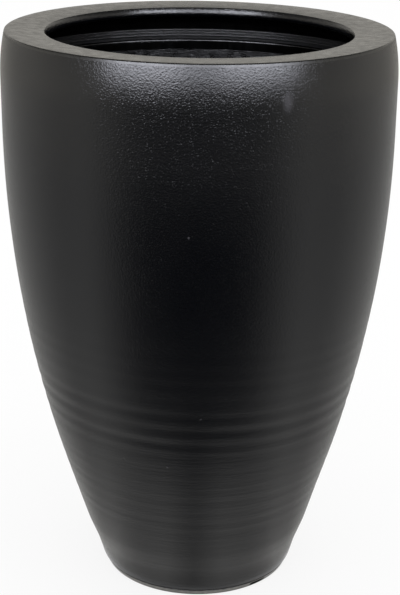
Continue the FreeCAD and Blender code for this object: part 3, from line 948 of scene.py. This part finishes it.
def makeDrainPlug():
    low, high = nodeBox("drain_plug")
    flange = high.x
    seat = nodeBox("drain_bush")[1].z + plug["seatGap"]
    top = high.z - tab["height"]
    shank = flange - plug["flangeOver"]
    corners = [(0, low.z, 0), (shank - plug["tip"] - plug["tipInset"], low.z, plug["tipRound"])]
    for share in plug["beads"]:
        middle = low.z + (seat - low.z) * share
        out = shank - plug["tip"] * (1 - share)
        for inset, up in ((plug["beadDepth"], -plug["beadHalf"]), (0, -plug["beadFlat"]),
                          (0, plug["beadFlat"]), (plug["beadDepth"], plug["beadHalf"])):
            corners.append((out - inset, middle + up, plug["beadRound"]))
    corners += [
        (shank - plug["beadDepth"], seat, plug["neckRound"]),
        (flange, seat, plug["seatRound"]),
        (flange, top, plug["flangeRound"]),
        (0, top, 0)]
    bm = spinOutline(softOutline(corners), plug["segments"])
    addTab(bm, seat + tab["sunk"], top)
    finishPiece("drainPlug", bm, [plugRubber], "drain_plug", "plug")


def addTab(bm, base, flangeTop):
    # finger tab: an arched plate with a hole, two loops of equal count bridged and thickened
    half = tab["width"] / 2
    straight = flangeTop + tab["height"] - half
    steps = tab["steps"]
    plate = bmesh.new()
    loops = []
    for hole in (False, True):
        verts = []
        for i in range(steps):
            turn = 2 * math.pi * (i + 0.5) / steps
            across, up = math.cos(turn), math.sin(turn)
            reach = tab["hole"] if hole else half
            if not hole and up < 0:
                reach = min(half / max(abs(across), 1e-6), (straight - base) / -up)
            verts.append(plate.verts.new((
                across * reach * mm, -tab["thick"] / 2 * mm, (straight + up * reach) * mm)))
        loops += [plate.edges.new((verts[i - 1], verts[i])) for i in range(steps)]
    ring = bmesh.ops.bridge_loops(plate, edges=loops)["faces"]
    thick = bmesh.ops.extrude_face_region(plate, geom=ring)["geom"]
    bmesh.ops.translate(plate, vec=(0, tab["thick"] * mm, 0),
                        verts=[v for v in thick if isinstance(v, bmesh.types.BMVert)])
    bmesh.ops.recalc_face_normals(plate, faces=plate.faces)
    rims = [e for e in plate.edges
            if len(e.link_faces) == 2 and e.calc_face_angle() > tab["sharp"]]
    bmesh.ops.bevel(plate, geom=rims, offset=tab["round"] * mm, affect="EDGES",
                    segments=tab["roundSteps"], profile=0.5, material=-1)
    mesh = bpy.data.meshes.new("tab")
    plate.to_mesh(mesh)
    plate.free()
    bm.from_mesh(mesh)
    bpy.data.meshes.remove(mesh)


makeDrainBush()
makeDrainPlug()


# ---- stage: floor, reflection cards, lamp and world; its lengths are in metres

floorLook = {"radius": 14, "pale": "#fafafa", "paintedShadow": "#101010",
             "paintedShadowEdge": (0.1530, 0.1550),  # painted shadow up to here from the foot's axis
             "lift": 0.85}                  # share of white where it is seen


def makeFloor():
    # pale and keeping the planter's shadow, lifted towards white where it is seen, and with a
    # painted contact shadow under the foot: its colour turns dark and its lift drops out there
    material, tree, add = newMaterial("paleFloor")
    path = add("LightPath")
    seen = add("Math", {
        0: (path, "Is Camera Ray"), 1: (path, "Is Glossy Ray")}, operation="MAXIMUM")
    seen = add("Math", {
        0: (seen, "Value"), 1: (path, "Is Transmission Ray")}, operation="MAXIMUM")
    shifted = add("VectorMath", {
        0: (add("TexCoord"), "Object"), 1: (shellForm["footShift"] * mm, 0, 0)},
        operation="SUBTRACT")
    away = add("VectorMath", {0: (shifted, "Vector")}, operation="LENGTH")
    # painted shadow: 0 inside the foot's edge, where the floor is coloured dark and not lifted, 1
    # beyond it
    clear = add("MapRange", {"Value": (away, "Value"), **spans(floorLook["paintedShadowEdge"])})
    tone = add("Mix", {
        0: (clear, "Result"), 6: linearColour(floorLook["paintedShadow"]),
        7: linearColour(floorLook["pale"])}, data_type="RGBA")
    liftOutsidePaintedShadow = add("Math", {
        0: (clear, "Result"), 1: floorLook["lift"]}, **multiply)
    lift = add("Math", {0: (seen, "Value"), 1: (liftOutsidePaintedShadow, "Value")}, **multiply)
    shader = tree.nodes["Principled BSDF"]
    shader.inputs["Roughness"].default_value = 1.0
    shader.inputs["Specular IOR Level"].default_value = 0.0
    tree.links.new(tone.outputs[2], shader.inputs["Base Color"])
    white = add("Emission", {"Color": (1, 1, 1, 1)})
    blend = add("MixShader", {0: (lift, "Value"), 1: (shader, "BSDF"), 2: (white, "Emission")})
    tree.links.new(blend.outputs[0], tree.nodes["Material Output"].inputs[0])
    bm = bmesh.new()
    bmesh.ops.create_circle(bm, cap_ends=True, segments=96, radius=floorLook["radius"])
    addMesh("floor", bm, [material])


def startCard(name, look):
    # gives the material, its node adder and where a point of the card is: its height, how far
    # ahead of the axis it is, its degrees to the right of the front, and those without a sign
    material, tree, add = newMaterial(name)
    tree.nodes.clear()
    split = add("SeparateXYZ", {0: (add("TexCoord"), "Object")})
    ahead = add("Math", {0: (split, "Y"), 1: -1.0}, **multiply)
    turn = add("Math", {0: (split, "X"), 1: (ahead, "Value")}, operation="ARCTAN2")
    degrees = add("Math", {0: (turn, "Value")}, operation="DEGREES")
    azimuth = add("Math", {0: (degrees, "Value"), 1: look["turn"]}, operation="ADD")
    spread = add("Math", {0: (azimuth, "Value")}, operation="ABSOLUTE")
    return material, add, {
        "height": (split, "Z"), "ahead": (ahead, "Value"), "azimuth": (azimuth, "Value"),
        "spread": (spread, "Value")}


def toneByPlace(add, value, stops):
    # a level that goes straight from stop to stop; stops are (place, level), in rising order
    tone = None
    for (start, first), (end, last) in zip(stops[:-1], stops[1:]):
        step = add("MapRange", {"Value": value, **spans((start, end), (0.0, last - first))})
        tone = add("Math", {
            0: (step, "Result"), 1: (tone, "Value") if tone else stops[0][1]}, operation="ADD")
    return tone, "Value"


def finishCard(material, look, level, cover=None):
    # the card glows at this level, and where cover is 0 it is clear; its outline of (radius,
    # height) is turned about the axis, evenly to both sides of the front; it shows in gloss, and
    # neither lights the object nor stands in the picture
    add = partial(addNode, material.node_tree)
    glow = add("Emission", {"Color": linearColour(look["colour"]), "Strength": level})
    surface = (glow, "Emission")
    if cover:
        blend = add("MixShader", {0: cover, 1: (add("BsdfTransparent"), "BSDF"), 2: surface})
        surface = (blend, "Shader")
    add("OutputMaterial", {"Surface": surface})
    bm = bmesh.new()
    verts = [bm.verts.new((0, -radius, height)) for radius, height in look["outline"]]
    edges = [bm.edges.new(verts[i:i + 2]) for i in range(len(verts) - 1)]
    start = Matrix.Rotation(math.radians(-look["sweep"] / 2), 3, "Z")
    bmesh.ops.rotate(bm, verts=verts, matrix=start)
    bmesh.ops.spin(bm, geom=verts + edges, axis=(0, 0, 1), steps=look["steps"],
                   angle=math.radians(look["sweep"]), use_merge=look["sweep"] == 360)
    bmesh.ops.remove_doubles(bm, verts=bm.verts, dist=mm)
    card = addMesh(material.name, bm, [material])
    card.visible_camera = False
    card.visible_diffuse = False
    card.visible_shadow = False


# the room's floor as the paint mirrors it: dark in front beyond the planter's foot, pale to both
# sides and greyer behind; tones are brightness by metres in front of the axis and by azimuth
roomFloor = {
    "front": ((0.22, 0.95), (0.34, 0.74), (0.48, 0.32), (0.66, 0.17), (1.2, 0.03), (2.0, 0.08),
              (3, 0.16)),
    "middle": ((0, 0.62), (18, 1.0)),
    "around": ((20, 0.24), (45, 0.68), (62, 0.84), (82, 0.58), (100, 0.58), (130, 0.5),
               (180, 0.42)),
    "frontUntil": (18, 62), "turn": 3, "colour": "#fffefb",
    "outline": ((0.17, 0.003), (4.25, 0.003)), "steps": 72, "sweep": 360,
}


def makeRoomFloorCard():
    material, add, at = startCard("roomFloorCard", roomFloor)
    front = add("Math", {
        0: toneByPlace(add, at["ahead"], roomFloor["front"]),
        1: toneByPlace(add, at["spread"], roomFloor["middle"])}, **multiply)
    side = add("MapRange", {"Value": at["spread"], **spans(roomFloor["frontUntil"])}, **smooth)
    level = add("Mix", {
        0: (side, "Result"), 2: (front, "Value"),
        3: toneByPlace(add, at["spread"], roomFloor["around"])})
    finishCard(material, roomFloor, (level, 0))


# two windows of the room with a strip of wall between them: brightness and cover by azimuth, and
# how they come up over the sill and brighten to the sky by height
window = {
    "panes": ((-15, 9.4), (-9, 5.0), (9, 5.1), (15, 8.7)),
    "cover": ((-57, 0.0), (-47, 1.0), (47, 1.0), (57, 0.0)),
    "rise": ((0.97, 0.0), (1.13, 0.5), (1.32, 1.0)), "sky": ((1.4, 1.0), (1.9, 1.8)),
    "turn": 0, "colour": "#f3f5ff", "outline": ((3.2, 0.86), (3.2, 2.8)), "steps": 36,
    "sweep": 116,
}


def makeWindowCard():
    material, add, at = startCard("windowCard", window)
    cover = add("Math", {
        0: toneByPlace(add, at["azimuth"], window["cover"]),
        1: toneByPlace(add, at["height"], window["rise"])}, **multiply)
    strength = add("Math", {
        0: toneByPlace(add, at["azimuth"], window["panes"]),
        1: toneByPlace(add, at["height"], window["sky"])}, **multiply)
    finishCard(material, window, (strength, "Value"), (cover, "Value"))


# the room's walls, dark in front below the windows, pale to the sides and greyer behind, and its
# ceiling, pale low down and dark overhead: brightness by azimuth and by height
ceiling = {
    "walls": ((0, 0.24), (40, 0.46), (60, 0.98), (98, 0.92), (130, 0.5), (180, 0.4)),
    "tones": ((1.3, 0.82), (1.7, 0.98), (1.9, 0.98), (2.4, 0.26)),
    "wallUntil": (0.95, 1.3), "turn": 0, "colour": "#fffbf2",
    "outline": ((4.2, 0.003), (4.2, 0.6), (4.2, 1.0), (4.2, 1.3), (4.1, 1.8), (3.7, 2.3),
                (3.0, 2.65), (2.0, 2.85), (1.0, 2.95), (0, 3.0)), "steps": 48,
    "sweep": 360,
}


def makeCeilingCard():
    material, add, at = startCard("ceilingCard", ceiling)
    over = add("MapRange", {"Value": at["height"], **spans(ceiling["wallUntil"])}, **smooth)
    level = add("Mix", {
        0: (over, "Result"), 2: toneByPlace(add, at["spread"], ceiling["walls"]),
        3: toneByPlace(add, at["height"], ceiling["tones"])})
    finishCard(material, ceiling, (level, 0))


lampForm = {"size": 3.0, "energy": 12, "place": (0.4, -0.8, 2.9), "aim": (0, 0, 0.5)}


def makeLamp():
    lamp = bpy.data.lights.new("softTop", "AREA")
    lamp.shape = "DISK"
    lamp.size = lampForm["size"]
    lamp.energy = lampForm["energy"]
    item = bpy.data.objects.new("softTop", lamp)
    item.location = lampForm["place"]
    towards = Vector(lampForm["place"]) - Vector(lampForm["aim"])
    item.rotation_euler = towards.to_track_quat("Z", "Y").to_euler()
    item.visible_glossy = False
    item.visible_camera = False
    bpy.context.scene.collection.objects.link(item)


def makeWorld():
    # plain white all round, at strength 1
    world = bpy.data.worlds.new("studio")
    bpy.context.scene.world = world
    world.use_nodes = True
    world.node_tree.nodes.clear()
    light = addNode(world.node_tree, "Background", {"Color": (1, 1, 1, 1)})
    addNode(world.node_tree, "OutputWorld", {"Surface": (light, "Background")})


makeFloor()
makeRoomFloorCard()
makeWindowCard()
makeCeilingCard()
makeLamp()
makeWorld()
print("stage set")


# ---- camera at the photograph's viewing angle: metres and degrees, lens and sensor in millimetres

viewpoint = {"place": (-0.0485, -2.1984, 1.2483), "yaw": -1.361, "pitch": -19.704,
             "roll": -0.454, "lens": 86.70, "sensor": 36, "clipEnd": 60}


def makeCamera():
    data = bpy.data.cameras.new("camera")
    data.lens = viewpoint["lens"]
    data.sensor_width = viewpoint["sensor"]
    data.clip_end = viewpoint["clipEnd"]
    camera = bpy.data.objects.new("camera", data)
    bpy.context.scene.collection.objects.link(camera)
    turn = (Matrix.Rotation(math.radians(viewpoint["yaw"]), 4, "Z")
            @ Matrix.Rotation(math.radians(viewpoint["pitch"]), 4, "X")
            @ Matrix.Rotation(math.radians(viewpoint["roll"]), 4, "Y")
            @ Matrix.Rotation(math.pi / 2, 4, "X"))
    camera.matrix_world = Matrix.Translation(viewpoint["place"]) @ turn
    bpy.context.scene.camera = camera


makeCamera()
bpy.context.scene.view_settings.view_transform = "Standard"
